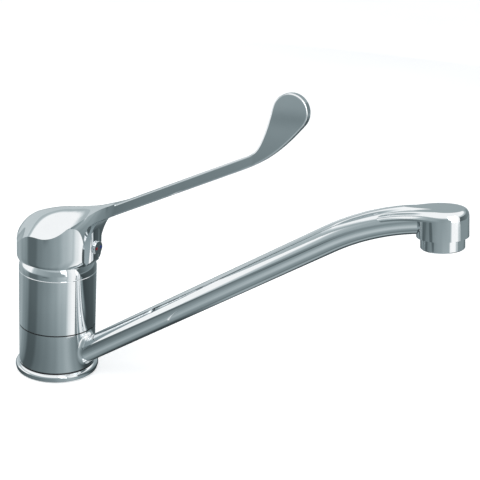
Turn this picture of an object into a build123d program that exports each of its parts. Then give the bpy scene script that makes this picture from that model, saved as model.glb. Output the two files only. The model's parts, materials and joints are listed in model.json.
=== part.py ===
"""Single-lever kitchen mixer tap with a long elbow lever and a swivel spout.

Millimetres, +Z up. The origin is the centre of the base on the worktop.
The spout and the lever point along +X at rest, with the water shut off.
"""

import os
from math import cos, radians, sin, sqrt, tan

from build123d import *

# General clearances
RUNNING = 0.06        # radial clearance of a turning fit
SLIDING = 0.10        # clearance of a sliding or loose fit
FACE_GAP = 0.05       # axial gap between faces that turn on each other
THREAD_GAP = 0.05     # radial gap that stands for a cut thread

# Column heights
RING_BASE = 4.8       # thickness of the base ring
LOWER_GAP = 0.8       # visible gap under the spout ring
SPOUT_RING = 25.0     # height of the spout ring
UPPER_GAP = 0.5       # visible gap over the spout ring
UPPER_BODY = 36.1     # height of the body above the spout ring

# Column radii
BODY_R = 24.0
BASE_FLARE = 2.2      # the base ring stands this far out of the body
SPIGOT_STEP = 6.5     # the inner column that carries the spout ring lies this far inside the body
FOOT_STEP = 2.0       # and the threaded foot that carries the base ring this far inside that
GAP_INSET = 0.7       # both slip rings lie this far inside the body's face

# Gasket under the base ring
GASKET_T = 1.6
GASKET_HOLE = 3.0     # the gasket's hole is this much wider in radius than the foot
GASKET_INSET = 1.8    # rim of the base ring outside its gasket
GASKET_PROUD = 0.3

# Spout seals on the spigot
SEAL_D = 2.4
SEAL_SQUEEZE = 0.02   # clearance of a seal to its bore
SEAL_WIDTH = 2.8      # width of each seal groove
LOWER_SEAL_Z = 10.0
UPPER_SEAL_Z = 26.6
WATER_GROOVE_W = 8.0
WATER_GROOVE_DEPTH = 2.4

# Inlets, stud hole and waterways in the body
INLET_R = 4.5         # tapping drill of M10 x 1
INLET_DEPTH = 12.0
INLET_X = -2.0
INLET_Y = 8.4
STUD_R = 3.4          # tapping drill of M8
STUD_DEPTH = 12.5
STUD_X = 9.0
CHANNEL_R = 3.2       # drilled waterways
OUTLET_CHANNEL_X = 9.2

# Cartridge, a 35 mm ceramic one
SEAT_Z = 36.0         # floor of the cartridge seat
SEAT_R = 17.6
CART_GAP = 0.15       # radial gap of the cartridge in its seat
CART_WALL = 1.65
DISC_GAP = 0.3        # radial gap of the fixed disc and the rotor's flange in the housing
CART_BASE_T = 4.0
CART_BASE_GAP = 0.3   # the port seals stand this far out below the base
FIXED_DISC_T = 3.5
MOVING_DISC_T = 3.2
MOVING_DISC_INSET = 3.2
CARRIER_INSET = 2.4   # the slide and the disc under it lie this far inside the housing's bore
CARRIER_T = 7.1
CART_SHOULDER_Z = 58.0
CART_NECK_R = 13.4
CART_TOP_Z = 69.6
ROTOR_R = 11.4
ROTOR_FLANGE_T = 2.2
PORT_R = 3.0
PORT_SEAL_W = 1.2

# Lever mechanism
PIVOT_Z = 62.4
PIVOT_PIN_R = 1.5
SPINDLE_W = 8.0       # square of the spindle
SPINDLE_TOP = 95.0
SPINDLE_NECK_W = 4.2
SPINDLE_ARM = 10.0    # pivot to the ball that drives the disc
BALL_R = 3.0
LIFT_DEG = 25.0
RIB_W = 2.2           # guide ribs under the rotor
RIB_Y = 9.6
RIB_DEPTH = 1.6

# Retaining nut and dome cap
THREAD_R = 20.0       # M40 thread in the top of the body
NUT_T = 6.0
NUT_HEX = 31.0
NUT_HEX_T = 4.6
DOME_SWELL = 1.6      # the dome's ball, about the lever's pivot, is this much larger than the body
DOME_WALL = 1.6
DOME_MOUTH_R = 18.0
DOME_SKIRT_T = 1.8
DOME_SHOULDER = 12.0  # radius that leads the cap's wall into its ball
DOME_STEP = 0.2       # the cap's straight wall is this much thicker than its ball

# Lever hood
HOOD_RIM_Z = 75.5
HOOD_CLEARANCE = 0.5  # hood's rim to the dome
RIM_WALL = 2.1
RIM_ROUND = 0.53      # the sides curve in by this much to the rim
RIM_ROUND_H = 2.0     # height of that curve at the back
HOOD_NOSE = 4.0       # the front of the hood stands this far out of its round back
NOSE_ROUND_H = 6.2    # height of the curve under the nose
FLANK_FROM = 70.0     # the round back ends this many degrees from the front
HOOD_INNER_TOP = 97.0
HOOD_INNER_SIDE = 88.0
BOSS_R = 7.6
BOSS_BOTTOM = 82.2
SCREW_Z = 87.7
SCREW_R = 2.5
SCREW_LEN = 8.0
SCREW_HOUSING_R = 5.0
PLUG_R = 4.2
PLUG_DEPTH = 4.0
PLUG_PROUD = 1.4
FRONT_FACE = 0.1      # the flat front of the hood stands this far out of its round back
PANEL_FACE = 3.7      # and so does the crown of the rib on it
PANEL_R = 8.0
PANEL_RISE = 0.9      # height of the rib where it runs up under the neck
PANEL_LOW_W = 10.8    # width of the rib at the rim
PANEL_HIGH_W = 8.2    # and where it meets the neck
DOT_R = 0.95
DOT_PITCH = 4.3
DOT_PROUD = 0.15

# Lever bar and paddle, in the lever's upright plane
NECK_X = 46.0         # where the bar leaves the neck
BAR_SLOPE = 28.0
BAR_T = 6.1
BAR_TOP_Z = 120.3     # top of the bar at NECK_X
BAR_NECK_W = 15.0
NECK_LIP = 0.03       # the neck stands this far over the bar where they join
NECK_LAP = 0.5        # length of the bar inside the neck
BAR_END_X = 123.0
TAPER_END_X = 130.0   # the bar reaches the paddle's thickness here
PADDLE_T = 5.0
PADDLE_X = 149.0
PADDLE_Z = 190.6
PADDLE_R = 10.1
BAR_ROUND = 0.9

# Spout arm and outlet, in the spout's upright plane
ARM_R = 7.44
ARM_BORE_R = 5.3
ARM_SLOPE = 35.55
ARM_Z = 17.4          # arm centre where it leaves the ring
ARM_ROOT_ROUND = 2.8
OUTLET_X = 237.7      # lower rim of the aerator
OUTLET_Z = 136.2
OUTLET_TILT = 8.6
HEAD_R = 13.0
HEAD_BOTTOM = 6.3     # heights over the aerator's rim, along its axis
HEAD_ARM = 14.6
HEAD_LEDGE = 16.3
HEAD_TOP = 20.7
HEAD_CORNER = 4.5
CREST_R = 400.0       # the head's top is gently arched
CREST_X = -8.0        # and highest this far before the outlet's axis
HEAD_BORE_R = 4.0     # waterway in the head, clear of the aerator's seat
ROOT_JOINT_X = 33.0   # brazed joint of the swivel ring's stub and the arm
HEAD_JOINT = 40.0     # brazed joint of arm and head, before the outlet along the bend
BRAZE_R = 6.5         # the arm's ends are turned down to this radius
BRAZE_LAP = 5.0
BRAZE_GAP = 0.04
SPACE = 400.0         # a box of this size reaches past the whole spout

# Aerator
AERATOR_R = 11.05
AERATOR_BORE_R = 9.3
AERATOR_LIP_R = 8.3
AERATOR_THREAD_R = 10.0
AERATOR_THREAD_LEN = 3.8
INSERT_R = 9.1
INSERT_T = 5.4
SCREEN_T = 0.8
WASHER_T = 1.5
HEAD_CAVITY_R = 8.0
HEAD_CAVITY_TOP = 18.4

# Derived radii
SPIGOT_R = BODY_R - SPIGOT_STEP
SPIGOT_FOOT_R = SPIGOT_R - FOOT_STEP
GASKET_IN_R = SPIGOT_FOOT_R + GASKET_HOLE
CART_R = SEAT_R - CART_GAP
CART_BORE_R = CART_R - CART_WALL
FIXED_DISC_R = CART_BORE_R - DISC_GAP
MOVING_DISC_R = CART_BORE_R - MOVING_DISC_INSET
CARRIER_R = CART_BORE_R - CARRIER_INSET
ROTOR_FLANGE_R = CART_BORE_R - DISC_GAP
BASE_R = BODY_R + BASE_FLARE
GAP_R = BODY_R - GAP_INSET
GASKET_OUT_R = BASE_R - GASKET_INSET
DOME_R = BODY_R + DOME_SWELL
HOOD_INNER_R = sqrt((DOME_R + HOOD_CLEARANCE) ** 2 - (HOOD_RIM_Z - PIVOT_Z) ** 2)
HOOD_RIM_R = HOOD_INNER_R + RIM_WALL
HOOD_R = HOOD_RIM_R + RIM_ROUND

# Derived heights
HOOD_SKIRT_TOP = HOOD_RIM_Z + NOSE_ROUND_H
SPOUT_BOTTOM = RING_BASE + LOWER_GAP
SPOUT_TOP = SPOUT_BOTTOM + SPOUT_RING
BODY_BOTTOM = SPOUT_TOP + UPPER_GAP
BODY_TOP = BODY_BOTTOM + UPPER_BODY
CART_BASE_Z = SEAT_Z + CART_BASE_GAP
FIXED_DISC_Z = CART_BASE_Z + CART_BASE_T
MOVING_DISC_Z = FIXED_DISC_Z + FIXED_DISC_T + FACE_GAP
CARRIER_Z = MOVING_DISC_Z + MOVING_DISC_T
BALL_Z = PIVOT_Z - SPINDLE_ARM
DISC_TRAVEL = SPINDLE_ARM * sin(radians(LIFT_DEG))
ROTOR_FLANGE_TOP = CART_SHOULDER_Z - 1.6


def ring(outer, inner, z0, z1):
    """A plain ring between two heights."""
    body = Pos(0, 0, z0) * Cylinder(outer, z1 - z0, align=(Align.CENTER, Align.CENTER, Align.MIN))
    if inner <= 0:
        return body
    hole = Pos(0, 0, z0 - 1) * Cylinder(inner, z1 - z0 + 2, align=(Align.CENTER, Align.CENTER, Align.MIN))
    return body - hole


def rod(radius, z0, z1, x=0.0, y=0.0):
    """An upright cylinder between two heights."""
    return Pos(x, y, z0) * Cylinder(radius, z1 - z0, align=(Align.CENTER, Align.CENTER, Align.MIN))


def rod_x(radius, x0, x1, z):
    """A level cylinder along X."""
    return Pos(x0, 0, z) * Rot(0, 90, 0) * Cylinder(
        radius, x1 - x0, align=(Align.CENTER, Align.CENTER, Align.MIN)
    )


def block(x0, x1, y0, y1, z0, z1):
    """A box between two corners."""
    return Pos((x0 + x1) / 2, (y0 + y1) / 2, (z0 + z1) / 2) * Box(x1 - x0, y1 - y0, z1 - z0)


def turned(points):
    """A body of revolution about Z from (radius, height) points."""
    wire = Polyline([(r, 0, z) for r, z in points], close=True)
    return revolve(make_face(wire), Axis.Z)


def upright(edges, width):
    """A closed outline in the XZ plane, made solid to both sides of it."""
    face = make_face(Wire(edges))
    return extrude(face, amount=width, dir=(0, 1, 0), both=True)


def xz(x, z):
    return Vector(x, 0, z)


# Fixed column

def seal_bore():
    return SPIGOT_R + RUNNING


def seal_groove_r():
    return seal_bore() - SEAL_D - 3 * SEAL_SQUEEZE


def make_mixer_body():
    """Brass body: threaded foot, spigot for the spout, and the cartridge seat."""
    chamfer = 0.3
    groove = seal_groove_r()
    half = SEAL_WIDTH / 2
    profile = [
        (0, 0),
        (SPIGOT_FOOT_R, 0),
        (SPIGOT_FOOT_R, RING_BASE),
        (SPIGOT_R, RING_BASE),
        (SPIGOT_R, LOWER_SEAL_Z - half),
        (groove, LOWER_SEAL_Z - half),
        (groove, LOWER_SEAL_Z + half),
        (SPIGOT_R, LOWER_SEAL_Z + half),
        (SPIGOT_R, ARM_Z - WATER_GROOVE_W / 2),
        (SPIGOT_R - WATER_GROOVE_DEPTH, ARM_Z - WATER_GROOVE_W / 2),
        (SPIGOT_R - WATER_GROOVE_DEPTH, ARM_Z + WATER_GROOVE_W / 2),
        (SPIGOT_R, ARM_Z + WATER_GROOVE_W / 2),
        (SPIGOT_R, UPPER_SEAL_Z - half),
        (groove, UPPER_SEAL_Z - half),
        (groove, UPPER_SEAL_Z + half),
        (SPIGOT_R, UPPER_SEAL_Z + half),
        (SPIGOT_R, BODY_BOTTOM),
        (BODY_R - chamfer, BODY_BOTTOM),
        (BODY_R, BODY_BOTTOM + chamfer),
        (BODY_R, BODY_TOP - chamfer),
        (BODY_R - chamfer, BODY_TOP),
        (THREAD_R, BODY_TOP),
        (THREAD_R, CART_SHOULDER_Z - 1.0),
        (SEAT_R, CART_SHOULDER_Z - 1.0),
        (SEAT_R, SEAT_Z),
        (0, SEAT_Z),
    ]
    body = turned(profile)
    for side in (-1, 1):
        y = side * INLET_Y
        body -= rod(INLET_R, -1, INLET_DEPTH, INLET_X, y)
        body -= rod(CHANNEL_R, 1, SEAT_Z + 1, INLET_X, y)
    body -= rod(STUD_R, -1, STUD_DEPTH, STUD_X)
    body -= rod(CHANNEL_R, ARM_Z - CHANNEL_R / 2, SEAT_Z + 1, OUTLET_CHANNEL_X)
    body -= rod_x(CHANNEL_R - 0.4, -SPIGOT_R - 1, OUTLET_CHANNEL_X, ARM_Z)
    return body


def make_base_ring():
    """Ring on the threaded foot, rounded above and recessed below for its gasket."""
    inner = SPIGOT_FOOT_R + THREAD_GAP
    shoulder = 2.4
    edges = Polyline(
        xz(BASE_R, GASKET_T),
        xz(BASE_R - 0.4, GASKET_PROUD),
        xz(GASKET_OUT_R + SLIDING, GASKET_PROUD),
        xz(GASKET_OUT_R + SLIDING, GASKET_T),
        xz(GASKET_IN_R - SLIDING, GASKET_T),
        xz(GASKET_IN_R - SLIDING, GASKET_PROUD),
        xz(inner, GASKET_PROUD),
        xz(inner, RING_BASE),
        xz(BASE_R - shoulder, RING_BASE),
    ).edges()
    mid = xz(BASE_R - 0.25 * shoulder, GASKET_T + 0.78 * (RING_BASE - GASKET_T))
    outer = ThreePointArc(xz(BASE_R - shoulder, RING_BASE), mid, xz(BASE_R, GASKET_T))
    return revolve(make_face(Wire(edges + outer.edges())), Axis.Z)


def make_seal(height):
    """O-ring in its groove on the spigot."""
    centre = seal_bore() - SEAL_SQUEEZE - SEAL_D / 2
    return Pos(0, 0, height) * Torus(centre, SEAL_D / 2)


def make_cartridge_base():
    """Foot of the cartridge with three ports and a seat for each port's seal."""
    base = ring(CART_R, 0, CART_BASE_Z, FIXED_DISC_Z)
    for x, y in port_places():
        base -= rod(PORT_R, CART_BASE_Z - 1, FIXED_DISC_Z + 1, x, y)
        base -= rod(PORT_R + PORT_SEAL_W, CART_BASE_Z - 1, CART_BASE_Z + CART_BASE_GAP * 2, x, y)
    return base


def port_places():
    return [(INLET_X, INLET_Y), (INLET_X, -INLET_Y), (OUTLET_CHANNEL_X, 0)]


def make_port_seals():
    """Three rubber rings that press on the cartridge seat."""
    seals = []
    for x, y in port_places():
        outer = rod(PORT_R + PORT_SEAL_W - SLIDING, SEAT_Z, CART_BASE_Z + CART_BASE_GAP * 2, x, y)
        seals.append(outer - rod(PORT_R, SEAT_Z - 1, CART_BASE_Z + 1, x, y))
    return Compound(children=seals)


def make_fixed_disc():
    """Lower ceramic disc with the three ports."""
    disc = ring(FIXED_DISC_R, 0, FIXED_DISC_Z, FIXED_DISC_Z + FIXED_DISC_T)
    for x, y in port_places():
        disc -= rod(PORT_R, FIXED_DISC_Z - 1, FIXED_DISC_Z + FIXED_DISC_T + 1, x, y)
    return disc


def make_cartridge_housing():
    """Plastic housing with a wide chamber for the discs and a neck for the rotor."""
    bore_top = ROTOR_FLANGE_TOP + FACE_GAP
    neck_bore = ROTOR_R + RUNNING
    return turned([
        (CART_BORE_R, FIXED_DISC_Z),
        (CART_R, FIXED_DISC_Z),
        (CART_R, CART_SHOULDER_Z),
        (CART_NECK_R, CART_SHOULDER_Z),
        (CART_NECK_R, CART_TOP_Z),
        (neck_bore, CART_TOP_Z),
        (neck_bore, bore_top),
        (CART_BORE_R, bore_top),
    ])


def make_cartridge_nut():
    """Brass nut that holds the cartridge down, with a hexagon on top."""
    hole = CART_NECK_R + SLIDING
    nut = ring(THREAD_R - THREAD_GAP, hole, CART_SHOULDER_Z, CART_SHOULDER_Z + NUT_T)
    top = CART_SHOULDER_Z + NUT_T
    hexagon = extrude(Pos(0, 0, top) * RegularPolygon(NUT_HEX / 2, 6, major_radius=False), NUT_HEX_T)
    return nut + (hexagon - rod(hole, top - 1, top + NUT_HEX_T + 1))


def on_ball(radius, ball):
    """Height on a ball about the lever's pivot at a radius from the axis."""
    return PIVOT_Z + sqrt(ball * ball - radius * radius)


def make_dome_cap():
    """Chrome cap whose ball lets the hood tip over it, screwed into the body."""
    skirt = THREAD_R - THREAD_GAP
    skirt_in = skirt - DOME_SKIRT_T
    skirt_z = CART_SHOULDER_Z + NUT_T + 0.6
    inner_ball = DOME_R - DOME_WALL
    mouth_in = DOME_MOUTH_R * inner_ball / DOME_R
    wall_in = BODY_R - DOME_WALL - DOME_STEP
    chamfer = 0.3
    centre_r = BODY_R - DOME_SHOULDER
    shoulder_r = centre_r * DOME_R / (DOME_R - DOME_SHOULDER)
    lower = Polyline(
        xz(wall_in, on_ball(wall_in, inner_ball)),
        xz(wall_in, BODY_TOP + DOME_WALL),
        xz(skirt_in, BODY_TOP + DOME_WALL),
        xz(skirt_in, skirt_z),
        xz(skirt, skirt_z),
        xz(skirt, BODY_TOP),
        xz(BODY_R - chamfer, BODY_TOP),
        xz(BODY_R, BODY_TOP + chamfer),
        xz(BODY_R, on_ball(centre_r, DOME_R - DOME_SHOULDER)),
    ).edges()
    shoulder = TangentArc(lower[-1] @ 1, xz(shoulder_r, on_ball(shoulder_r, DOME_R)), tangent=(0, 0, 1))
    outer_mid = (shoulder_r + DOME_MOUTH_R) / 2
    outer = ThreePointArc(
        xz(shoulder_r, on_ball(shoulder_r, DOME_R)),
        xz(outer_mid, on_ball(outer_mid, DOME_R)),
        xz(DOME_MOUTH_R, on_ball(DOME_MOUTH_R, DOME_R)),
    )
    lip = Line(xz(DOME_MOUTH_R, on_ball(DOME_MOUTH_R, DOME_R)), xz(mouth_in, on_ball(mouth_in, inner_ball)))
    inner_mid = (mouth_in + wall_in) / 2
    inner = ThreePointArc(
        xz(mouth_in, on_ball(mouth_in, inner_ball)),
        xz(inner_mid, on_ball(inner_mid, inner_ball)),
        xz(wall_in, on_ball(wall_in, inner_ball)),
    )
    edges = lower + shoulder.edges() + outer.edges() + lip.edges() + inner.edges()
    return revolve(make_face(Wire(edges)), Axis.Z)


# Moving pieces of the cartridge

def make_moving_disc():
    """Upper ceramic disc with the mixing pocket in its underside."""
    top = MOVING_DISC_Z + MOVING_DISC_T
    disc = rod(MOVING_DISC_R, MOVING_DISC_Z, top, -DISC_TRAVEL / 2)
    pocket = block(-11.5, -1.6, -7.0, 7.0, MOVING_DISC_Z - 1, MOVING_DISC_Z + MOVING_DISC_T / 2)
    pocket = fillet(pocket.edges().filter_by(Axis.Z), 3.0)
    return disc - pocket


def make_disc_carrier():
    """Plastic slide on the moving disc, with a socket for the spindle's ball."""
    top = CARRIER_Z + CARRIER_T
    carrier = rod(CARRIER_R, CARRIER_Z, top, -DISC_TRAVEL / 2)
    half = BALL_R + 0.25
    carrier -= block(-half, half, -half, half, BALL_Z - BALL_R - 0.3, top + 1)
    for side in (-1, 1):
        y = side * RIB_Y
        width = RIB_W / 2 + SLIDING
        carrier -= block(-2 * CARRIER_R, 2 * CARRIER_R, y - width, y + width, top - RIB_DEPTH - 0.3, top + 1)
    return carrier


def make_cartridge_rotor():
    """Turning core that carries the spindle's pivot and guides the slide."""
    flange_z = ROTOR_FLANGE_TOP - ROTOR_FLANGE_T
    rotor = rod(ROTOR_R, flange_z, CART_TOP_Z - 0.6) + rod(ROTOR_FLANGE_R, flange_z, ROTOR_FLANGE_TOP)
    for side in (-1, 1):
        y = side * RIB_Y
        rotor += block(-9, 9, y - RIB_W / 2, y + RIB_W / 2, flange_z - RIB_DEPTH, flange_z + 0.5)
    tip = tan(radians(LIFT_DEG))
    wide = SPINDLE_W / 2 / cos(radians(LIFT_DEG)) + 0.3
    above = CART_TOP_Z - PIVOT_Z
    below = PIVOT_Z - flange_z + RIB_DEPTH + 1
    reach = DISC_TRAVEL + BALL_R + 0.4
    slot = Polyline(
        xz(-wide - above * tip, PIVOT_Z + above),
        xz(wide, PIVOT_Z + above),
        xz(wide, PIVOT_Z),
        xz(wide + 1.2, PIVOT_Z - 2),
        xz(reach, PIVOT_Z - 5),
        xz(reach, PIVOT_Z - below),
        xz(-wide, PIVOT_Z - below),
        xz(-wide, PIVOT_Z),
        close=True,
    )
    rotor -= upright(slot.edges(), SPINDLE_W / 2 + SLIDING)
    pin_hole = Rot(90, 0, 0) * Cylinder(PIVOT_PIN_R + 0.02, 3 * ROTOR_R)
    return rotor - Pos(0, 0, PIVOT_Z) * pin_hole


def make_pivot_pin():
    """Steel pin through the rotor and the spindle."""
    return Pos(0, 0, PIVOT_Z) * Rot(90, 0, 0) * Cylinder(PIVOT_PIN_R, 2 * ROTOR_R - 1.2)


def make_spindle():
    """Square spindle, pinned near its foot, with a ball that drives the slide."""
    foot = PIVOT_Z - 4.0
    spindle = block(-SPINDLE_W / 2, SPINDLE_W / 2, -SPINDLE_W / 2, SPINDLE_W / 2, foot, SPINDLE_TOP)
    spindle = chamfer(spindle.edges().group_by(Axis.Z)[-1], 0.6)
    spindle += rod(SPINDLE_NECK_W / 2, BALL_Z, foot + 0.5)
    spindle += Pos(0, 0, BALL_Z) * Sphere(BALL_R)
    return spindle - Pos(0, 0, PIVOT_Z) * Rot(90, 0, 0) * Cylinder(PIVOT_PIN_R + RUNNING, 3 * SPINDLE_W)


# Spout

def arm_at(x):
    """Height of the arm's centre on its straight part."""
    return ARM_Z + (x - BODY_R) * tan(radians(ARM_SLOPE))


def outlet_place():
    """Frame of the outlet: its origin is the aerator's rim, its Z runs up the outlet's axis."""
    tilt = radians(OUTLET_TILT)
    return Plane(xz(OUTLET_X, OUTLET_Z), x_dir=(cos(tilt), 0, sin(tilt)), z_dir=(-sin(tilt), 0, cos(tilt))).location


def arm_bend():
    """Start of the bend, its centre, and the arm's centre over the outlet, where the bend ends."""
    tilt = radians(OUTLET_TILT)
    slope = radians(ARM_SLOPE)
    end_x = OUTLET_X - HEAD_ARM * sin(tilt)
    end_z = OUTLET_Z + HEAD_ARM * cos(tilt)
    corner_x = (end_z - ARM_Z + BODY_R * tan(slope) - end_x * tan(tilt)) / (tan(slope) - tan(tilt))
    tangent = (end_x - corner_x) / cos(tilt)
    radius = tangent / tan((slope - tilt) / 2)
    start = xz(corner_x - tangent * cos(slope), arm_at(corner_x) - tangent * sin(slope))
    centre = start + xz(sin(slope), -cos(slope)) * radius
    return start, centre, radius


def arm_tube(radius, start_x):
    """A round bar along the arm from a place on its straight part to the outlet."""
    start, centre, bend_r = arm_bend()
    slope = radians(ARM_SLOPE)
    turn = ARM_SLOPE - OUTLET_TILT
    low = xz(start_x, arm_at(start_x))
    length = (start - low).length
    along = Plane(low, x_dir=(0, 1, 0), z_dir=(cos(slope), 0, sin(slope)))
    tube = extrude(along * Circle(radius), length)
    across = Plane(start, x_dir=(0, 1, 0), z_dir=(cos(slope), 0, sin(slope)))
    bend = revolve(across * Circle(radius), Axis(centre, (0, 1, 0)), turn)
    return tube + bend


def visor_section(distance, half_width, height, corner):
    """Section of the visor, at a distance before the outlet measured along the bend."""
    start, centre, bend_r = arm_bend()
    tilt = radians(OUTLET_TILT) + distance / bend_r
    middle = centre + xz(-sin(tilt), cos(tilt)) * bend_r
    place = Plane(middle, x_dir=(0, 1, 0), z_dir=(cos(tilt), 0, sin(tilt)))
    low = HEAD_LEDGE - HEAD_ARM
    top = low + height
    side = -1 if place.y_dir.Z < 0 else 1
    low *= side
    top *= side
    outline = [
        Line((-half_width, low), (half_width, low)),
        Bezier((half_width, low), (half_width, top), (corner, top)),
        Line((corner, top), (-corner, top)),
        Bezier((-corner, top), (-half_width, top), (-half_width, low)),
    ]
    return place * make_face(Wire(outline))


def make_visor():
    """The arm's top widened into a round-nosed visor over the outlet."""
    height = HEAD_TOP - HEAD_LEDGE
    corner = HEAD_R - HEAD_CORNER
    steps = [
        (36.0, 6.1, height * 0.81, 1.0),
        (26.0, 7.8, height * 0.91, 3.0),
        (17.0, 9.7, height * 0.96, 5.0),
        (8.0, 12.0, height, corner - 0.8),
        (0.0, HEAD_R, height, corner),
    ]
    sections = [visor_section(*step) for step in steps]
    tail = loft(sections)
    half = [
        Line((0, 0, HEAD_LEDGE), (HEAD_R, 0, HEAD_LEDGE)),
        Bezier((HEAD_R, 0, HEAD_LEDGE), (HEAD_R, 0, HEAD_TOP), (corner, 0, HEAD_TOP)),
        Line((corner, 0, HEAD_TOP), (0, 0, HEAD_TOP)),
        Line((0, 0, HEAD_TOP), (0, 0, HEAD_LEDGE)),
    ]
    nose = revolve(Rot(0, 0, -90) * make_face(Wire(half)), Axis.Z, 180)
    return tail + outlet_place() * nose


def over_head():
    """All space over the arched top of the outlet head."""
    wide = 1.5 * HEAD_R
    over = block(-2 * HEAD_R, 2 * HEAD_R, -wide, wide, HEAD_LEDGE, HEAD_TOP + HEAD_R)
    drum = Pos(CREST_X, 0, HEAD_TOP - CREST_R) * Rot(90, 0, 0) * Cylinder(CREST_R, 3 * wide)
    return outlet_place() * (over - drum)


def waterway():
    """Bore of the arm, and the narrower one that leads on through the head."""
    wide = arm_tube(ARM_BORE_R, BODY_R) - beyond_head(BRAZE_LAP + BRAZE_GAP)
    return wide + arm_tube(HEAD_BORE_R, BODY_R)


def spout_casting():
    """Swivel ring, bored arm and outlet head before they are parted at the brazed joints."""
    collar = ring(BODY_R, 0, SPOUT_BOTTOM, SPOUT_TOP)
    arm = arm_tube(ARM_R, BODY_R - 6)
    joined = collar + arm
    root = joined.edges().filter_by(lambda e: e.geom_type != GeomType.CIRCLE and e.center().X < ROOT_JOINT_X)
    joined = fillet(root, ARM_ROOT_ROUND)
    joined -= rod(seal_bore(), SPOUT_BOTTOM - 1, SPOUT_TOP + 1)
    boss = outlet_place() * rod(HEAD_R, HEAD_BOTTOM, HEAD_LEDGE)
    joined += boss
    joined += make_visor()
    joined -= over_head()
    joined -= waterway()
    joined -= rod_x(WATER_GROOVE_W / 2 - 0.1, SPIGOT_R - 1.5, BODY_R + 4, ARM_Z)
    thread = AERATOR_THREAD_R + THREAD_GAP
    joined -= outlet_place() * rod(thread, HEAD_BOTTOM - 1, HEAD_BOTTOM + AERATOR_THREAD_LEN)
    joined -= outlet_place() * rod(HEAD_CAVITY_R, HEAD_BOTTOM, HEAD_CAVITY_TOP)
    return joined


def beyond_root(back):
    """All space beyond the joint at the ring, or this far before it."""
    slope = radians(ARM_SLOPE)
    along = xz(cos(slope), sin(slope))
    place = Plane(xz(ROOT_JOINT_X, arm_at(ROOT_JOINT_X)) - along * back, x_dir=(0, 1, 0), z_dir=along)
    return place.location * Box(SPACE, SPACE, SPACE, align=(Align.CENTER, Align.CENTER, Align.MIN))


def beyond_head(on):
    """All space beyond the joint at the outlet head, or this far on along the bend."""
    start, centre, bend_r = arm_bend()
    tilt = radians(OUTLET_TILT) + (HEAD_JOINT - on) / bend_r
    place = Plane(centre + xz(-sin(tilt), cos(tilt)) * bend_r, x_dir=(0, 1, 0), z_dir=(cos(tilt), 0, sin(tilt)))
    return place.location * Box(SPACE, SPACE, SPACE, align=(Align.CENTER, Align.CENTER, Align.MIN))


def make_spout():
    """Brass spout in three brazed pieces: swivel ring, arm tube and outlet head."""
    whole = spout_casting()
    socket = arm_tube(BRAZE_R + BRAZE_GAP, BODY_R)
    spout_ring = (whole - beyond_root(0)) - (socket & beyond_root(BRAZE_LAP + BRAZE_GAP))
    outlet_head = (whole & beyond_head(0)) - (socket - beyond_head(BRAZE_LAP + BRAZE_GAP))
    spigots = arm_tube(BRAZE_R, BODY_R) - arm_tube(ARM_BORE_R, BODY_R - 1)
    spigots = (spigots & beyond_root(BRAZE_LAP)) - beyond_head(BRAZE_LAP)
    spout_arm = ((whole & beyond_root(0)) - beyond_head(0)) + spigots
    return spout_ring, spout_arm, outlet_head


def make_aerator_housing():
    """Chromed sleeve screwed into the outlet."""
    top = HEAD_BOTTOM + AERATOR_THREAD_LEN
    chamfer = 0.5
    step = INSERT_R - 0.4
    seat = top - WASHER_T - INSERT_T
    return outlet_place() * turned([
        (AERATOR_LIP_R, 0),
        (AERATOR_R - chamfer, 0),
        (AERATOR_R, chamfer),
        (AERATOR_R, HEAD_BOTTOM),
        (AERATOR_THREAD_R, HEAD_BOTTOM),
        (AERATOR_THREAD_R, top),
        (AERATOR_BORE_R, top),
        (AERATOR_BORE_R, seat),
        (step, seat),
        (step, 1.0),
        (AERATOR_LIP_R, 1.0),
    ])


def make_aerator_insert():
    """Flow insert with a ring of jets."""
    top = HEAD_BOTTOM + AERATOR_THREAD_LEN - WASHER_T
    insert = ring(INSERT_R, 0, top - INSERT_T, top)
    insert -= rod(3.0, top - 2.2, top + 1)
    for place in PolarLocations(6.0, 12):
        x, y = place.position.X, place.position.Y
        insert -= rod(0.9, top - INSERT_T - 1, top + 1, x, y)
    return outlet_place() * insert


def make_aerator_screen():
    """Honeycomb screen behind the lower lip."""
    screen = ring(INSERT_R - 0.5, 0, 1.0, 1.0 + SCREEN_T)
    hexagon = Pos(0, 0, 0.5) * extrude(RegularPolygon(1.1, 6), 2)
    for place in HexLocations(1.35, 5, 5):
        if place.position.length < AERATOR_LIP_R - 1.3:
            screen -= place * hexagon
    return outlet_place() * screen


def make_aerator_washer():
    """Flat rubber washer between the aerator and the outlet's shoulder."""
    top = HEAD_BOTTOM + AERATOR_THREAD_LEN
    return outlet_place() * ring(AERATOR_BORE_R - 0.05, 6.8, top - WASHER_T, top)


# Lever

def hood_crown():
    """Everything under the arched top of the hood and neck."""
    pitch = 6.0
    stations = [
        (-41.8, 0.0600),
        (-29.4, 0.0560),
        (-21.5, 0.0500),
        (-17.9, 0.0341),
        (-15.6, 0.0222),
        (-13.7, 0.0191),
        (-12.1, 0.0220),
        (-10.8, 0.0271),
        (-9.4, 0.0323),
        (-7.9, 0.0342),
        (-6.3, 0.0305),
        (-4.3, 0.0213),
        (-2.15, 0.0095),
        (NECK_LIP, 0.0005),
        (NECK_LIP + pitch * tan(radians(BAR_SLOPE)), 0.0005),
    ]
    wide = HOOD_R + 0.8
    floor = HOOD_RIM_Z - 60
    faces = []
    for step, (rise, arch) in enumerate(stations):
        x = NECK_X + (step - 13) * pitch
        top = BAR_TOP_Z + rise
        drop = arch * wide * wide
        outline = [
            Line((x, -wide, floor), (x, wide, floor)),
            Line((x, wide, floor), (x, wide, top - drop)),
            Bezier((x, wide, top - drop), (x, 0, top + drop), (x, -wide, top - drop)),
            Line((x, -wide, top - drop), (x, -wide, floor)),
        ]
        faces.append(make_face(Wire(outline)))
    return loft(faces)


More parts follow.
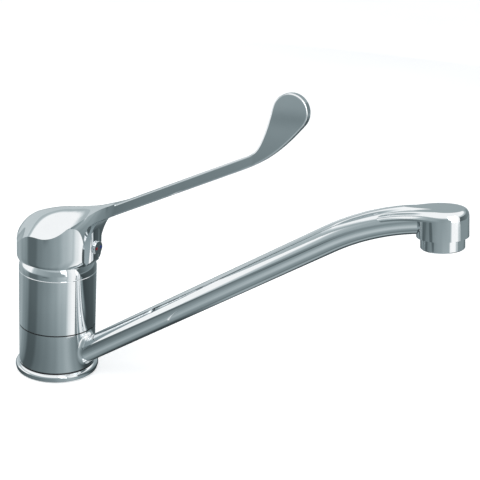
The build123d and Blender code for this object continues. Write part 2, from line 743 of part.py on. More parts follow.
def neck_block():
    """Flared sides of the neck, from the hood's middle to the start of the bar."""
    stations = [
        (16.0, 12.0, 19.2, 99.3),
        (22.0, 9.0, 16.3, 103.6),
        (28.0, 8.2, 13.5, 108.7),
        (34.0, 7.9, 10.6, 113.9),
        (40.0, 7.7, 8.4, 117.8),
        (NECK_X, BAR_NECK_W / 2 + NECK_LIP, BAR_NECK_W / 2 + NECK_LIP, BAR_TOP_Z + 0.3),
    ]
    faces = []
    for x, low, high, crease in stations:
        bend = HOOD_RIM_Z + 0.8 * (crease - HOOD_RIM_Z)
        top = crease + 15
        outline = [
            Line((x, -low, HOOD_RIM_Z), (x, low, HOOD_RIM_Z)),
            Bezier((x, low, HOOD_RIM_Z), (x, low, bend), (x, high, crease)),
            Line((x, high, crease), (x, high, top)),
            Line((x, high, top), (x, -high, top)),
            Line((x, -high, top), (x, -high, crease)),
            Bezier((x, -high, crease), (x, -low, bend), (x, -low, HOOD_RIM_Z)),
        ]
        faces.append(make_face(Wire(outline)))
    return loft(faces)


def under_neck(rise):
    """The space in front of the hood and under the neck, kept clear of a rib of this height."""
    front = HOOD_R + FRONT_FACE + rise
    run = xz(cos(radians(BAR_SLOPE)), sin(radians(BAR_SLOPE)))
    low = xz(front, HOOD_SKIRT_TOP)
    end = xz(NECK_X, BAR_TOP_Z - BAR_T / cos(radians(BAR_SLOPE)) - NECK_LIP)
    points = []
    for out, up in [(0.034, 0.376), (0.121, 0.565), (0.227, 0.695), (0.420, 0.805), (0.662, 0.894)]:
        sag = rise * 2.4 * out * (1 - out)
        points.append(xz(low.X + out * (end.X - low.X), low.Z + up * (end.Z - low.Z) - sag))
    curve = Spline(low, *points, end, tangents=[xz(0, 1), run])
    start = xz(front, HOOD_RIM_Z - 3)
    rest = Polyline(end, xz(NECK_X + 4, end.Z), xz(NECK_X + 4, start.Z), start, low)
    return upright(curve.edges() + rest.edges(), 2 * HOOD_R)


def bar_side():
    """Side outline of the bar and of its upright drop-shaped paddle."""
    slope = tan(radians(BAR_SLOPE))
    thick = BAR_T / cos(radians(BAR_SLOPE))
    run = xz(1, slope)
    top_start = xz(NECK_X - NECK_LAP, BAR_TOP_Z - NECK_LAP * slope)
    top_end = xz(BAR_END_X, BAR_TOP_Z + (BAR_END_X - NECK_X) * slope)
    low_start = top_start - xz(0, thick)
    low_end = xz(BAR_END_X - 1, top_end.Z - slope - thick)
    back = xz(PADDLE_X - 0.978 * PADDLE_R, PADDLE_Z + 0.208 * PADDLE_R)
    crown = xz(PADDLE_X + 0.208 * PADDLE_R, PADDLE_Z + 0.978 * PADDLE_R)
    front = xz(PADDLE_X + 0.804 * PADDLE_R, PADDLE_Z - 0.595 * PADDLE_R)
    top = Line(top_start, top_end)
    rise = Spline(
        top_end,
        xz(PADDLE_X - 18.4, PADDLE_Z - 24.2),
        xz(PADDLE_X - 15.3, PADDLE_Z - 18.7),
        xz(PADDLE_X - 12.5, PADDLE_Z - 10.1),
        back,
        tangents=[run, xz(0.208, 0.978)],
    )
    round_end = ThreePointArc(back, crown, front)
    sweep_down = Spline(
        front,
        xz(PADDLE_X - 2.0, PADDLE_Z - 18.4),
        xz(PADDLE_X - 14.2, PADDLE_Z - 29.2),
        low_end,
        tangents=[xz(-0.595, -0.804), -run],
    )
    return [top, rise, round_end, sweep_down, Line(low_end, low_start), Line(low_start, top_start)]


def make_bar():
    """Bar and paddle, tapered in plan from the neck to the paddle's thickness."""
    half = BAR_NECK_W / 2
    tip = PADDLE_T / 2
    beyond = PADDLE_X + 2 * PADDLE_R
    plan = Polyline(
        (NECK_X - 1, half),
        (NECK_X, half),
        (TAPER_END_X, tip),
        (beyond, tip),
        (beyond, -tip),
        (TAPER_END_X, -tip),
        (NECK_X, -half),
        (NECK_X - 1, -half),
        close=True,
    )
    bar = upright(bar_side(), half + 1) & extrude(make_face(plan), PADDLE_Z + 2 * PADDLE_R)
    long_edges = [e for e in bar.edges() if e.bounding_box().size.X > 2]
    return fillet(long_edges, BAR_ROUND)


def hood_outline(back_r, nose):
    """Plan of the hood: a round back, and two flanks that close on the nose."""
    turn = radians(FLANK_FROM)
    x = back_r * cos(turn)
    y = back_r * sin(turn)
    back = ThreePointArc((x, y), (-back_r, 0), (x, -y))
    near = TangentArc((x, -y), (nose, 0), tangent=(sin(turn), cos(turn)))
    far = TangentArc((x, y), (nose, 0), tangent=(sin(turn), -cos(turn)))
    return make_face(Wire([back, near, far]))


def hood_skirt():
    """Lower hood, whose sides curve in to a round rim."""
    steps = 6
    faces = []
    for step in range(steps + 1):
        height = NOSE_ROUND_H * step / steps
        back_bend = max(0.0, 1 - height / RIM_ROUND_H)
        nose_bend = 1 - height / NOSE_ROUND_H
        back_r = HOOD_R - RIM_ROUND * back_bend ** 2
        nose = HOOD_R + HOOD_NOSE - (RIM_ROUND + HOOD_NOSE) * nose_bend ** 2
        faces.append(Pos(0, 0, HOOD_RIM_Z + height) * hood_outline(back_r, nose))
    return loft(faces)


def hood_shell():
    """Outside of the hood below its crown."""
    outline = Pos(0, 0, HOOD_SKIRT_TOP) * hood_outline(HOOD_R, HOOD_R + HOOD_NOSE)
    return hood_skirt() + extrude(outline, BAR_TOP_Z + 5 - HOOD_SKIRT_TOP)


def front_rib():
    """Rounded rib on the hood's flat front, which narrows and fades out under the neck."""
    low = PANEL_LOW_W / 2
    high = PANEL_HIGH_W / 2
    outline = Polyline(
        (0, -low, HOOD_RIM_Z),
        (0, -high, HOOD_INNER_TOP),
        (0, -high, BAR_TOP_Z),
        (0, high, BAR_TOP_Z),
        (0, high, HOOD_INNER_TOP),
        (0, low, HOOD_RIM_Z),
        close=True,
    )
    strip = Pos(HOOD_RIM_R / 2, 0, 0) * extrude(make_face(outline), NECK_X - HOOD_RIM_R / 2, dir=(1, 0, 0))
    crown = rod(PANEL_R, HOOD_RIM_Z, BAR_TOP_Z, nose_x() - PANEL_R)
    rib = (strip - under_neck(PANEL_RISE)) + (strip & crown)
    bend = Bezier(
        xz(HOOD_RIM_R, HOOD_RIM_Z),
        xz(nose_x(), HOOD_RIM_Z + NOSE_ROUND_H / 2),
        xz(nose_x(), HOOD_SKIRT_TOP),
    )
    rest = Polyline(
        bend @ 1,
        xz(2 * HOOD_R, HOOD_SKIRT_TOP),
        xz(2 * HOOD_R, HOOD_RIM_Z - 1),
        xz(HOOD_RIM_R, HOOD_RIM_Z - 1),
        bend @ 0,
    )
    return rib - revolve(make_face(Wire(bend.edges() + rest.edges())), Axis.Z)


def hood_cavity():
    """The hollow of the hood, which clears the dome cap when the lever tips."""
    inner = HOOD_INNER_R
    side = Polyline(
        xz(0, HOOD_RIM_Z - 1), xz(inner, HOOD_RIM_Z - 1), xz(inner, HOOD_INNER_SIDE)
    ).edges()
    mid = xz(0.72 * inner, HOOD_INNER_SIDE + 0.6 * (HOOD_INNER_TOP - HOOD_INNER_SIDE))
    roof = ThreePointArc(xz(inner, HOOD_INNER_SIDE), mid, xz(0, HOOD_INNER_TOP))
    axis = Line(xz(0, HOOD_INNER_TOP), xz(0, HOOD_RIM_Z - 1))
    return revolve(make_face(Wire(side + roof.edges() + axis.edges())), Axis.Z)


def nose_x():
    """Crown of the rib on the hood's front."""
    return HOOD_R + PANEL_FACE


def make_lever_handle():
    """Lever casting: hood, neck, bar and paddle in one piece."""
    crown = hood_crown()
    neck = (neck_block() & crown) - rod(2 * HOOD_R, HOOD_RIM_Z - 1, HOOD_SKIRT_TOP)
    outside = (hood_shell() & crown) + neck
    outside -= under_neck(0)
    outside += front_rib() & crown
    handle = outside - hood_cavity()
    inside = hood_cavity() & rod(BOSS_R, BOSS_BOTTOM, HOOD_INNER_TOP + 3)
    inside += hood_cavity() & rod_x(SCREW_HOUSING_R, 0, HOOD_R, SCREW_Z)
    handle += inside
    handle += make_bar()
    half = SPINDLE_W / 2 + RUNNING
    handle -= block(-half, half, -half, half, BOSS_BOTTOM - 1, SPINDLE_TOP + 0.3)
    handle -= rod_x(SCREW_R + THREAD_GAP, 0, nose_x(), SCREW_Z)
    handle -= rod_x(PLUG_R + RUNNING, nose_x() - PLUG_DEPTH, nose_x() + 5, SCREW_Z)
    return handle


def make_grub_screw():
    """Hexagon-socket screw that grips the spindle."""
    start = SPINDLE_W / 2
    screw = rod_x(SCREW_R, start, start + SCREW_LEN, SCREW_Z)
    socket = extrude(RegularPolygon(1.25, 6, major_radius=False), 3)
    return screw - Pos(start + SCREW_LEN - 2.5, 0, SCREW_Z) * Rot(0, 90, 0) * socket


def dot_place(side):
    """Frame of a dot on the plug's outer face."""
    return Pos(nose_x() + PLUG_PROUD, side * DOT_PITCH / 2, SCREW_Z) * Rot(0, 90, 0)


def make_index_plug():
    """Plug over the screw hole, with two pockets for the colour dots."""
    plug = rod_x(PLUG_R, nose_x() - PLUG_DEPTH, nose_x() + PLUG_PROUD, SCREW_Z)
    plug = fillet(plug.edges().group_by(Axis.X)[-1], 0.4)
    for side in (-1, 1):
        plug -= dot_place(side) * Cylinder(DOT_R, 1.0)
    return plug


def make_dot(side):
    """A colour dot set in the plug."""
    dot = Cylinder(DOT_R - 0.02, 0.5 + DOT_PROUD, align=(Align.CENTER, Align.CENTER, Align.MIN))
    return dot_place(side) * Pos(0, 0, -0.5) * dot


# Export

spout_ring, spout_arm, outlet_head = make_spout()

PIECES = {
    "mixer_body": make_mixer_body(),
    "base_ring": make_base_ring(),
    "base_gasket": ring(GASKET_OUT_R, GASKET_IN_R, 0, GASKET_T),
    "lower_slip_ring": ring(GAP_R, SPIGOT_R + SLIDING, RING_BASE, SPOUT_BOTTOM - FACE_GAP),
    "upper_slip_ring": ring(GAP_R, SPIGOT_R + SLIDING, SPOUT_TOP + FACE_GAP, BODY_BOTTOM),
    "lower_spout_seal": make_seal(LOWER_SEAL_Z),
    "upper_spout_seal": make_seal(UPPER_SEAL_Z),
    "cartridge_base": make_cartridge_base(),
    "port_seals": make_port_seals(),
    "fixed_disc": make_fixed_disc(),
    "cartridge_housing": make_cartridge_housing(),
    "cartridge_nut": make_cartridge_nut(),
    "dome_cap": make_dome_cap(),
    "spout_ring": spout_ring,
    "spout_arm": spout_arm,
    "outlet_head": outlet_head,
    "aerator_housing": make_aerator_housing(),
    "aerator_insert": make_aerator_insert(),
    "aerator_screen": make_aerator_screen(),
    "aerator_washer": make_aerator_washer(),
    "cartridge_rotor": make_cartridge_rotor(),
    "pivot_pin": make_pivot_pin(),
    "moving_disc": make_moving_disc(),
    "disc_carrier": make_disc_carrier(),
    "spindle": make_spindle(),
    "lever_handle": make_lever_handle(),
    "grub_screw": make_grub_screw(),
    "index_plug": make_index_plug(),
    "hot_dot": make_dot(-1),
    "cold_dot": make_dot(1),
}

os.makedirs("parts", exist_ok=True)
for name, piece in PIECES.items():
    export_step(piece, f"parts/{name}.step")
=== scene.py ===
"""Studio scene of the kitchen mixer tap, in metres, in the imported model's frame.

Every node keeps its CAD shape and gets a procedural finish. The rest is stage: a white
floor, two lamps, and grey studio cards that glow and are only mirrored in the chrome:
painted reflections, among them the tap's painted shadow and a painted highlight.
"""

import json
from math import cos, radians, sin

import bpy
from mathutils import Matrix, Vector

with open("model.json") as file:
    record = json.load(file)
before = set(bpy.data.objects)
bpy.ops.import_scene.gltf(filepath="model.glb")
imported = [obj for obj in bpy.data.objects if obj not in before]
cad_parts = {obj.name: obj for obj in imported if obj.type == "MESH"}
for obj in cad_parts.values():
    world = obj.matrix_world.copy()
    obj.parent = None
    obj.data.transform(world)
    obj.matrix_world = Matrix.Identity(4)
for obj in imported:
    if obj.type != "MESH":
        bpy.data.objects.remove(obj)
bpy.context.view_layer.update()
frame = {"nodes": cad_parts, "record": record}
scene = bpy.context.scene

WHITE = (1.0, 1.0, 1.0, 1.0)


# Nodes

def add_node(tree, kind, inputs, **settings):
    """A new node with its settings. Each input is linked to a socket or set to a value."""
    node = tree.nodes.new(kind)
    for name, value in settings.items():
        setattr(node, name, value)
    for name, value in inputs.items():
        if isinstance(value, bpy.types.NodeSocket):
            tree.links.new(value, node.inputs[name])
        else:
            node.inputs[name].default_value = value
    return node


def object_space(tree):
    return tree.nodes.new("ShaderNodeTexCoord").outputs["Object"]


def calc(tree, kind, *values):
    """The result of one maths operation on sockets and numbers."""
    node = add_node(tree, "ShaderNodeMath", dict(enumerate(values)), operation=kind)
    return node.outputs["Value"]


def blend(tree, fac, first, second, kind="FLOAT"):
    """first where fac is 0 and second where it is 1."""
    inputs = {"Factor": fac, "A": first, "B": second}
    return add_node(tree, "ShaderNodeMix", inputs, data_type=kind).outputs["Result"]


def mix_shaders(tree, fac, first, second):
    node = add_node(tree, "ShaderNodeMixShader", {"Fac": fac, 1: first, 2: second})
    return node.outputs["Shader"]


def new_material(name):
    """A material, its node tree and its shader."""
    mat = bpy.data.materials.new(name)
    mat.use_nodes = True
    return mat, mat.node_tree, mat.node_tree.nodes["Principled BSDF"]


def set_surface(tree, shader):
    tree.links.new(shader, tree.nodes["Material Output"].inputs["Surface"])


# Finishes. A noise is its scale per metre, its detail and its roughness.

# The part of a noise over which a ramp changes colour
RAMP_RANGE = (0.3, 0.7)

CHROME_TONE = (0.90, 0.925, 0.94)
# The duller patches' share of that tone
CHROME_DULL = 0.965
CHROME_ROUGH = (0.035, 0.065)
TONE_NOISE = (60.0, 4.0, 0.6)
HAZE_NOISE = (240.0, 3.0, 0.5)
RIPPLE_NOISE = (90.0, 2.0, 0.5)
RIPPLE_STRENGTH = 0.05
RIPPLE_DEPTH = 0.0001

GRAIN_DETAIL = 4.0
GRAIN_ROUGH = 0.6
GRAIN_STRENGTH = 0.3

# slot: name, low and high colour, range of roughness, metallic, grain scale, grain depth
PLAIN_FINISHES = {
    "body_brass": (
        "machined brass", (0.60, 0.45, 0.20), (0.72, 0.56, 0.28), (0.28, 0.4),
        1.0, 600.0, 0.00002,
    ),
    "spindle_steel": (
        "steel", (0.50, 0.51, 0.52), (0.62, 0.63, 0.64), (0.25, 0.4),
        1.0, 700.0, 0.00002,
    ),
    "black_rubber": (
        "rubber", (0.012, 0.012, 0.013), (0.03, 0.03, 0.032), (0.6, 0.8),
        0.0, 900.0, 0.00004,
    ),
    "black_plastic": (
        "black plastic", (0.010, 0.010, 0.011), (0.022, 0.022, 0.024), (0.35, 0.5),
        0.0, 700.0, 0.00002,
    ),
    "grey_plastic": (
        "grey plastic", (0.42, 0.43, 0.45), (0.50, 0.51, 0.53), (0.4, 0.5),
        0.0, 500.0, 0.00002,
    ),
    "ceramic": (
        "ceramic", (0.80, 0.79, 0.76), (0.88, 0.87, 0.84), (0.12, 0.2),
        0.0, 500.0, 0.00001,
    ),
    "hot_red": (
        "red enamel", (0.20, 0.012, 0.018), (0.27, 0.018, 0.024), (0.2, 0.3),
        0.0, 500.0, 0.00001,
    ),
    "cold_blue": (
        "blue enamel", (0.016, 0.035, 0.17), (0.024, 0.050, 0.23), (0.2, 0.3),
        0.0, 500.0, 0.00001,
    ),
}


def noise(tree, scale, detail, rough):
    """Noise over the object's own space."""
    inputs = {
        "Vector": object_space(tree), "Scale": scale, "Detail": detail, "Roughness": rough,
    }
    return add_node(tree, "ShaderNodeTexNoise", inputs).outputs["Fac"]


def ramp(tree, fac, low, high):
    """From the low colour to the high one over the middle of a noise."""
    node = add_node(tree, "ShaderNodeValToRGB", {"Fac": fac})
    for mark, place, colour in zip(node.color_ramp.elements, RAMP_RANGE, (low, high)):
        mark.position = place
        mark.color = (*colour, 1.0)
    return node.outputs["Color"]


def levels(tree, fac, low, high):
    """A value between low and high."""
    node = add_node(tree, "ShaderNodeMapRange", {"Value": fac, "To Min": low, "To Max": high})
    return node.outputs["Result"]


def bump(tree, shader, height, strength, depth):
    inputs = {"Strength": strength, "Distance": depth, "Height": height}
    node = add_node(tree, "ShaderNodeBump", inputs)
    tree.links.new(node.outputs["Normal"], shader.inputs["Normal"])


def chrome():
    """Polished plating: faint changes of tone and haze, and the soft ripple of buffing."""
    mat, tree, shader = new_material("chrome")
    shader.inputs["Metallic"].default_value = 1.0
    dull = tuple(CHROME_DULL * c for c in CHROME_TONE)
    tone = ramp(tree, noise(tree, *TONE_NOISE), dull, CHROME_TONE)
    tree.links.new(tone, shader.inputs["Base Color"])
    haze = levels(tree, noise(tree, *HAZE_NOISE), *CHROME_ROUGH)
    tree.links.new(haze, shader.inputs["Roughness"])
    bump(tree, shader, noise(tree, *RIPPLE_NOISE), RIPPLE_STRENGTH, RIPPLE_DEPTH)
    return mat


def plain(name, low, high, rough, metallic, scale, depth):
    """A moulded or machined finish with fine mottling and a little relief."""
    mat, tree, shader = new_material(name)
    shader.inputs["Metallic"].default_value = metallic
    grain = noise(tree, scale, GRAIN_DETAIL, GRAIN_ROUGH)
    tree.links.new(ramp(tree, grain, low, high), shader.inputs["Base Color"])
    tree.links.new(levels(tree, grain, *rough), shader.inputs["Roughness"])
    bump(tree, shader, grain, GRAIN_STRENGTH, depth)
    return mat


finishes = {"chrome": chrome()}
for slot, row in PLAIN_FINISHES.items():
    finishes[slot] = plain(*row)

for part in frame["record"]["subparts"]:
    materials = frame["nodes"][part["node"]].data.materials
    materials.clear()
    materials.append(finishes[part["material_slot"]])


# Camera, fitted to the ellipses and outlines in the photograph. Angles are in degrees,
# and the lens and sensor in millimetres.

CAMERA_PLACE = (0.3433, -0.4474, 0.2917)
CAMERA_AHEAD = (-0.4384, 0.8988, 0.0)
CAMERA_PITCH = 19.593
CAMERA_ROLL = 4.399
CAMERA_LENS = 71.25
CAMERA_SENSOR = 36.0
CAMERA_CLIP = 0.01


def set_camera():
    """The level direction ahead is tipped down by the pitch, then turned by the roll."""
    pitch = radians(CAMERA_PITCH)
    roll = radians(CAMERA_ROLL)
    up = Vector((0.0, 0.0, 1.0))
    ahead = Vector(CAMERA_AHEAD).normalized()
    side = Vector((ahead.y, -ahead.x, 0.0))
    forward = ahead * cos(pitch) - up * sin(pitch)
    upright = ahead * sin(pitch) + up * cos(pitch)
    right = side * cos(roll) + upright * sin(roll)
    top = upright * cos(roll) - side * sin(roll)
    turn = Matrix((right, top, -forward)).transposed()

    cam = bpy.data.cameras.new("camera")
    cam.lens = CAMERA_LENS
    cam.sensor_width = CAMERA_SENSOR
    cam.clip_start = CAMERA_CLIP
    obj = bpy.data.objects.new("camera", cam)
    obj.matrix_world = Matrix.Translation(CAMERA_PLACE) @ turn.to_4x4()
    scene.collection.objects.link(obj)
    scene.camera = obj


set_camera()


# World, lamps and floor

WORLD_GREY = (0.60, 0.62, 0.64)
WORLD_STRENGTH = 0.9

LAMP_TARGET = (0.09, 0.0, 0.09)
# name, width, height, power, place, whether the chrome mirrors it
LAMPS = [
    ("key", 1.2, 1.2, 14.0, (-0.6, -1.1, 1.3), False),
    ("fill", 1.0, 1.6, 8.0, (1.3, -0.6, 0.7), True),
]

FLOOR_HALF = 6.0
FLOOR_LEVEL = -0.0005
FLOOR_LOW = (0.80, 0.80, 0.80)
FLOOR_HIGH = (0.84, 0.84, 0.84)
FLOOR_NOISE = (3.0, 3.0, 0.5)
FLOOR_ROUGH = 0.7
FLOOR_GLOW = 0.47


def seen_rays(tree):
    """1 for camera, glossy and transmitted rays, and 0 for the rays that light things."""
    rays = tree.nodes.new("ShaderNodeLightPath").outputs
    seen = rays["Is Camera Ray"]
    for kind in ("Is Glossy Ray", "Is Transmission Ray"):
        seen = calc(tree, "MAXIMUM", seen, rays[kind])
    return seen


def make_world():
    """White where it is seen, plain grey where it lights."""
    world = bpy.data.worlds.new("studio")
    scene.world = world
    world.use_nodes = True
    tree = world.node_tree
    light = tree.nodes["Background"]
    light.inputs["Color"].default_value = (*WORLD_GREY, 1.0)
    light.inputs["Strength"].default_value = WORLD_STRENGTH
    white = add_node(tree, "ShaderNodeBackground", {"Color": WHITE, "Strength": 1.0})
    both = mix_shaders(
        tree, seen_rays(tree), light.outputs["Background"], white.outputs["Background"]
    )
    tree.links.new(both, tree.nodes["World Output"].inputs["Surface"])


def area_light(name, width, height, power, place, mirrored):
    data = bpy.data.lights.new(name, "AREA")
    data.shape = "RECTANGLE"
    data.size = width
    data.size_y = height
    data.energy = power
    obj = bpy.data.objects.new(name, data)
    obj.location = place
    look = Vector(LAMP_TARGET) - Vector(place)
    obj.rotation_euler = look.to_track_quat("-Z", "Y").to_euler()
    obj.visible_glossy = mirrored
    scene.collection.objects.link(obj)


FACE_UP = (0, 1, 2, 3)
FACE_DOWN = (3, 2, 1, 0)


def square(half, level):
    """Corners of a level square, anticlockwise from above."""
    return [
        (-half, -half, level), (half, -half, level), (half, half, level), (-half, half, level),
    ]


def stage_object(name, verts, faces, mat):
    mesh = bpy.data.meshes.new(name)
    mesh.from_pydata(verts, [], faces)
    mesh.materials.append(mat)
    obj = bpy.data.objects.new(name, mesh)
    scene.collection.objects.link(obj)
    return obj


def make_floor():
    """A pale floor whose glow, where it is seen, lifts it to white and leaves the shadow."""
    mat, tree, shader = new_material("floor")
    shader.inputs["Roughness"].default_value = FLOOR_ROUGH
    tone = ramp(tree, noise(tree, *FLOOR_NOISE), FLOOR_LOW, FLOOR_HIGH)
    tree.links.new(tone, shader.inputs["Base Color"])
    glow = add_node(tree, "ShaderNodeEmission", {"Strength": FLOOR_GLOW})
    lifted = add_node(
        tree, "ShaderNodeAddShader", {0: shader.outputs["BSDF"], 1: glow.outputs["Emission"]}
    )
    seen = seen_rays(tree)
    set_surface(tree, mix_shaders(tree, seen, shader.outputs["BSDF"], lifted.outputs["Shader"]))
    stage_object("floor", square(FLOOR_HALF, FLOOR_LEVEL), [FACE_UP], mat)


make_world()
for lamp in LAMPS:
    area_light(*lamp)
make_floor()


# Studio cards: a ground card, flags and a card by the column round the tap, which glow and
# which only its chrome mirrors: painted reflections, with painted shade and a painted
# highlight among them. Angles are azimuths round the column in degrees, and tones go from
# 0 to 1.

TINT = (0.70, 0.935, 1.0, 1.0)
CARD_STEP = 6
# The flags stand this far off, and the ground card reaches as far
STUDIO_RADIUS = 1.6

GROUND_CARD_LEVEL = -0.0003
# Tones close to the tap round the column: its painted shadow on the ground, as the chrome
# mirrors it
NEAR_PAINTED_SHADE = [
    (-180, 0.60), (-160, 0.40), (-148, 0.30), (-136, 0.14), (-116, 0.14), (-104, 0.22),
    (-85, 0.27), (-60, 0.36), (-45, 0.50), (-30, 0.62), (-12, 0.42), (12, 0.08),
    (60, 0.10), (100, 0.22), (130, 0.36), (180, 0.60),
]
# Tones further out: painted reflections of the ground, white in some sectors
FAR_GROUND_REFLECTION = [
    (-180, 1.0), (-136, 1.0), (-127, 0.50), (-113, 0.34), (-60, 0.34), (-32, 0.42),
    (-26, 1.0), (2, 1.0), (8, 0.30), (90, 0.30), (170, 0.42), (180, 1.0),
]
# Distances between which the near tones, with the painted shade, turn into the far ones
GROUND_TURNOVER = (0.40, 1.0)
# Painted shade of the spout along its line, and how far to each side it fades
SHADE = 0.70
SHADE_FADE = (0.03, 0.15)
# A painted lighter reflection under the far side of the spout, in a strip: its soft
# borders in y, and its start in x
STRIP_TONE = 0.42
STRIP_FRONT = (-0.005, 0.02)
STRIP_BACK = (0.045, 0.07)
STRIP_START = (0.08, 0.13)
# Soft painted dark spots that the chrome mirrors: x, y, inner and outer radius, tone
PAINTED_DARK_SPOTS = [(0.015, -0.335, 0.03, 0.08, 0.13), (-0.20, -0.80, 0.0, 0.09, 0.24)]

# The flags glow and only the chrome mirrors them: painted reflections of a grey studio.
# They stand in two rows, and leave gaps that show the white world
WALL_TOP = 0.72
UPPER_TOP = 1.55
WALL_TONES = [
    (-134, 0.85), (-126, 0.52), (-112, 0.42), (-70, 0.34), (-36, 0.40), (-30, 0.80),
    (3, 0.12), (60, 0.24), (104, 0.42), (120, 0.80), (132, 0.60), (150, 0.62), (178, 0.66),
]
UPPER_TONES = [
    (-180, 0.50), (-120, 0.44), (-30, 0.60), (3, 0.60), (90, 0.36), (150, 0.50), (180, 0.50),
]
# Heights between which the upper flags turn white
UPPER_FADE = (0.92, 1.30)

# A glowing card by the column that only the chrome mirrors: a painted highlight down it
HIGHLIGHT_CARD_RADIUS = 0.085
HIGHLIGHT_CARD_TOP = 0.125
HIGHLIGHT_CARD_TONES = [(-31, 0.55), (-23, 0.85), (-15, 1.0), (-7, 1.0)]

# A glowing card over the tap that only the chrome mirrors: a painted grey reflection
OVERHEAD_PLACE = (-0.055, 0.04, 0.35)
OVERHEAD_HALF = 0.13
OVERHEAD_TONE = 0.40
OVERHEAD_FADE = (0.07, 0.13)


def by_azimuth(tree, stops):
    """Tones round the tap, soft between stops of (azimuth, tone)."""
    turn = add_node(
        tree, "ShaderNodeTexGradient", {"Vector": object_space(tree)}, gradient_type="RADIAL"
    )
    node = add_node(tree, "ShaderNodeValToRGB", {"Fac": turn.outputs["Fac"]})
    node.color_ramp.interpolation = "EASE"
    marks = node.color_ramp.elements
    marks.remove(marks[1])
    for count, (azimuth, tone) in enumerate(stops):
        place = (azimuth + 180.0) / 360.0
        mark = marks.new(place) if count else marks[0]
        mark.position = place
        mark.color = (tone, tone, tone, 1.0)
    return node.outputs["Color"]


def position(tree):
    """Sockets X, Y and Z of the place in the card's own space."""
    return add_node(tree, "ShaderNodeSeparateXYZ", {"Vector": object_space(tree)}).outputs


def distance(tree, x, y):
    squares = [calc(tree, "MULTIPLY", side, side) for side in (x, y)]
    return calc(tree, "SQRT", calc(tree, "ADD", *squares))


def span(tree, value, start, end, low=0.0, high=1.0):
    """low up to start, high from end, and smooth between."""
    inputs = {
        "Value": value, "From Min": start, "From Max": end, "To Min": low, "To Max": high,
    }
    node = add_node(tree, "ShaderNodeMapRange", inputs, interpolation_type="SMOOTHSTEP")
    return node.outputs["Result"]


def new_card(name):
    """A material for a one-sided card, its tree and its glow. Its back isn't seen."""
    mat, tree, shader = new_material(name)
    tree.nodes.remove(shader)
    glow = tree.nodes.new("ShaderNodeEmission")
    clear = tree.nodes.new("ShaderNodeBsdfTransparent")
    back = tree.nodes.new("ShaderNodeNewGeometry").outputs["Backfacing"]
    set_surface(tree, mix_shaders(tree, back, glow.outputs["Emission"], clear.outputs["BSDF"]))
    return mat, tree, glow


def set_tone(tree, glow, tone):
    """Gives a card its tone: the lighter, the less of the tint."""
    inputs = {0: blend(tree, tone, TINT, WHITE, "RGBA"), "Scale": tone}
    scaled = add_node(tree, "ShaderNodeVectorMath", inputs, operation="SCALE")
    tree.links.new(scaled.outputs["Vector"], glow.inputs["Color"])


def painted_ground_reflection_material():
    """Painted shade of the tap: dark close to it and its spout, lighter further out."""
    mat, tree, glow = new_card("painted_ground_reflection")
    place = position(tree)
    x, y = place["X"], place["Y"]
    outward = span(tree, distance(tree, x, y), *GROUND_TURNOVER)
    tone = blend(tree, outward, by_azimuth(tree, NEAR_PAINTED_SHADE), by_azimuth(tree, FAR_GROUND_REFLECTION))
    # The spout's painted shade
    shade = span(tree, calc(tree, "ABSOLUTE", y), *SHADE_FADE, SHADE, 1.0)
    tone = calc(tree, "MULTIPLY", tone, shade)
    # The painted lighter strip under the far side of the spout
    strip = calc(
        tree, "MULTIPLY", span(tree, y, *STRIP_FRONT), span(tree, y, *STRIP_BACK, 1.0, 0.0)
    )
    strip = calc(tree, "MULTIPLY", strip, span(tree, x, *STRIP_START))
    tone = blend(tree, strip, tone, STRIP_TONE)
    # The painted dark spots
    for spot_x, spot_y, inner, outer, dark in PAINTED_DARK_SPOTS:
        off_x = calc(tree, "SUBTRACT", x, spot_x)
        off_y = calc(tree, "SUBTRACT", y, spot_y)
        outside = span(tree, distance(tree, off_x, off_y), inner, outer)
        tone = blend(tree, outside, dark, tone)
    set_tone(tree, glow, tone)
    return mat


def wall_material(name, stops, fade=None):
    """Grey painted reflection card, which turns white between the two heights of fade."""
    mat, tree, glow = new_card(name)
    tone = by_azimuth(tree, stops)
    if fade:
        tone = blend(tree, span(tree, position(tree)["Z"], *fade), tone, 1.0)
    set_tone(tree, glow, tone)
    return mat


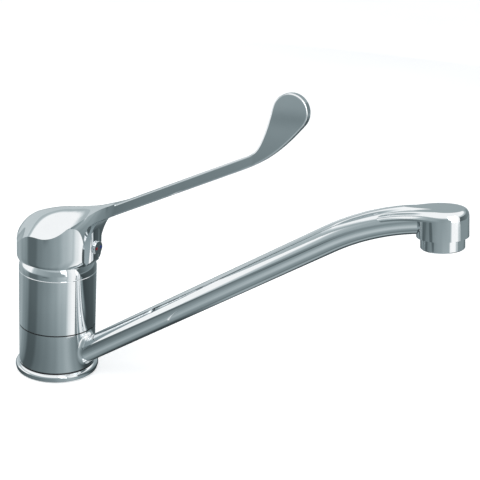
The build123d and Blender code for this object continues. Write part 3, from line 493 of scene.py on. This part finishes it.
def overhead_material():
    """Painted grey reflection over the tap: grey in the middle, white at the edge."""
    mat, tree, glow = new_card("overhead flag")
    place = position(tree)
    off = distance(tree, place["X"], place["Y"])
    set_tone(tree, glow, span(tree, off, *OVERHEAD_FADE, OVERHEAD_TONE, 1.0))
    return mat


def mirrored_only(obj):
    """Only glossy rays meet the card: it lights nothing and casts no shadow."""
    for kind in ("camera", "diffuse", "transmission", "volume_scatter", "shadow"):
        setattr(obj, "visible_" + kind, False)


def wall_card(name, radius, start, end, low, high, mat):
    """An upright card, bent round the tap and facing it."""
    steps = (end - start) // CARD_STEP
    verts = []
    for i in range(steps + 1):
        angle = radians(start + (end - start) * i / steps)
        x, y = radius * cos(angle), radius * sin(angle)
        verts += [(x, y, low), (x, y, high)]
    faces = [(2 * i, 2 * i + 1, 2 * i + 3, 2 * i + 2) for i in range(steps)]
    mirrored_only(stage_object(name, verts, faces, mat))


def level_card(name, place, half, face, mat):
    """A level square; its material reads places from its own middle."""
    obj = stage_object(name, square(half, 0.0), [face], mat)
    obj.location = place
    mirrored_only(obj)


# Painted reflections of a grey studio, in two rows of flags
wall = wall_material("flags", WALL_TONES)
upper = wall_material("upper flags", UPPER_TONES, UPPER_FADE)
# The painted highlight down the column
painted_highlight = wall_material("painted_highlight", HIGHLIGHT_CARD_TONES)
# name, radius, first and last azimuth, lower and upper edge, material
WALL_CARDS = [
    ("flag_front", STUDIO_RADIUS, -134, -30, 0.0, WALL_TOP, wall),
    ("flag_back", STUDIO_RADIUS, 3, 182, 0.0, WALL_TOP, wall),
    ("flag_upper_front", STUDIO_RADIUS, -180, -30, WALL_TOP, UPPER_TOP, upper),
    ("flag_upper_back", STUDIO_RADIUS, 3, 180, WALL_TOP, UPPER_TOP, upper),
    ("painted_highlight", HIGHLIGHT_CARD_RADIUS, -31, -7, 0.0, HIGHLIGHT_CARD_TOP, painted_highlight),
]

level_card("ground", (0.0, 0.0, GROUND_CARD_LEVEL), STUDIO_RADIUS, FACE_UP, painted_ground_reflection_material())
for card in WALL_CARDS:
    wall_card(*card)
level_card("overhead_flag", OVERHEAD_PLACE, OVERHEAD_HALF, FACE_DOWN, overhead_material())

scene.view_settings.view_transform = "Standard"
